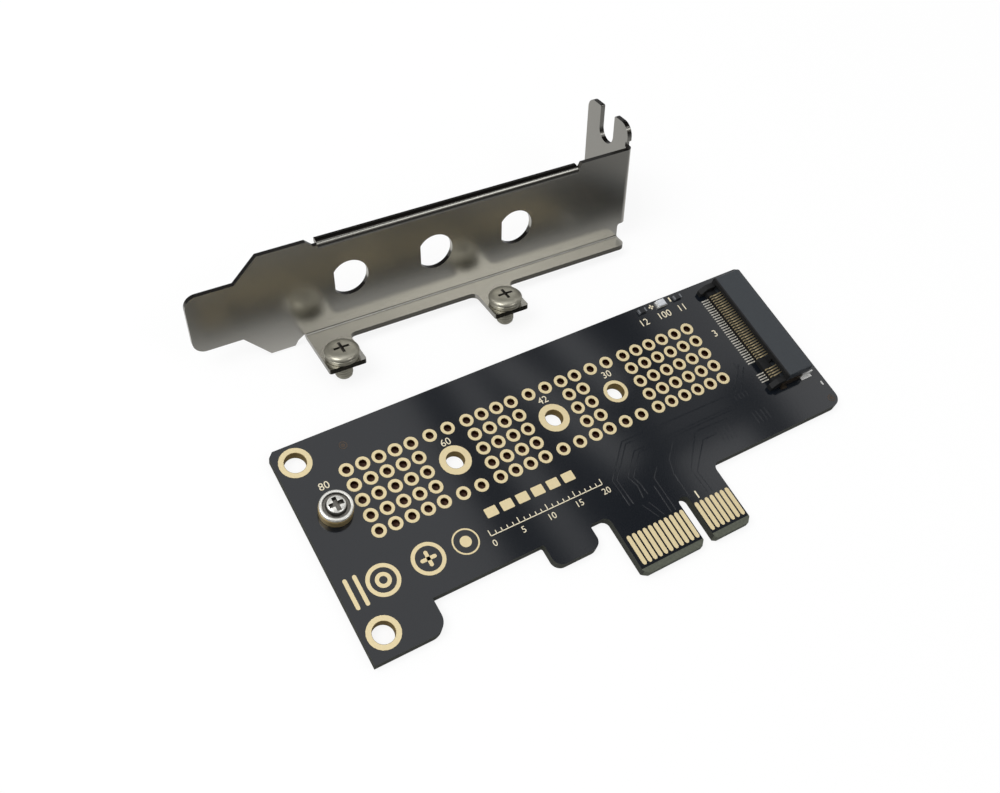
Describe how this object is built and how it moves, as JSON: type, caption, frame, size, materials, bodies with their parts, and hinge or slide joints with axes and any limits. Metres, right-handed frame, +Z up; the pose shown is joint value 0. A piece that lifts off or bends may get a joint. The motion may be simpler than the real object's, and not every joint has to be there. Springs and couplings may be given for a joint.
{
  "type": "nvme adapter card",
  "caption": "Low-profile adapter card: a drilled circuit board with an edge connector, a drive socket, a standoff and screw, with its slotted steel bracket standing apart.",
  "frame": {"origin": "where the centre line of the edge connector's key meets the connector's leading edge, on the board's underside", "axes": "+X along the board's long edge towards the drive socket, +Y from the edge connector to the board's back edge, +Z up from the underside to the component side"},
  "size_m": [0.0938, 0.0749, 0.0207],
  "materials": {
    "solder_mask": "satin black solder mask over glass-fibre laminate, olive where the edge is cut",
    "gold_plating": "pale matt gold plating",
    "socket_plastic": "fine-grained black moulding",
    "contact_metal": "thin plated spring strip",
    "tinned_metal": "tinned, satin",
    "standoff_brass": "turned brass",
    "screw_nickel": "nickel plated, smooth",
    "bracket_steel": "nickel-plated sheet steel, satin with blurred reflections",
    "light_lens": "clear moulded lens over a white carrier",
    "light_base": "white laminate",
    "resistor_body": "black glazed ceramic chip",
    "silk_ink": "screen-printed epoxy ink, matt cream"
  },
  "bodies": {
    "root": {"circuit_board": "solder_mask", "hole_pads_drive": "gold_plating", "hole_pads_bracket": "gold_plating", "edge_contacts_front": "gold_plating", "edge_contacts_back": "gold_plating", "socket_housing": "socket_plastic", "socket_lower_contacts": "contact_metal", "socket_upper_contacts": "contact_metal", "socket_lug_near": "tinned_metal", "socket_lug_far": "tinned_metal", "drive_standoff": "standoff_brass", "drive_screw": "screw_nickel", "light_base": "light_base", "light_lens": "light_lens", "light_ends": "tinned_metal", "resistor_left": "resistor_body", "resistor_ends_left": "tinned_metal", "resistor_right": "resistor_body", "resistor_ends_right": "tinned_metal", "bracket": "bracket_steel", "bracket_screw_left": "screw_nickel", "bracket_screw_right": "screw_nickel"}
  },
  "joints": []
}
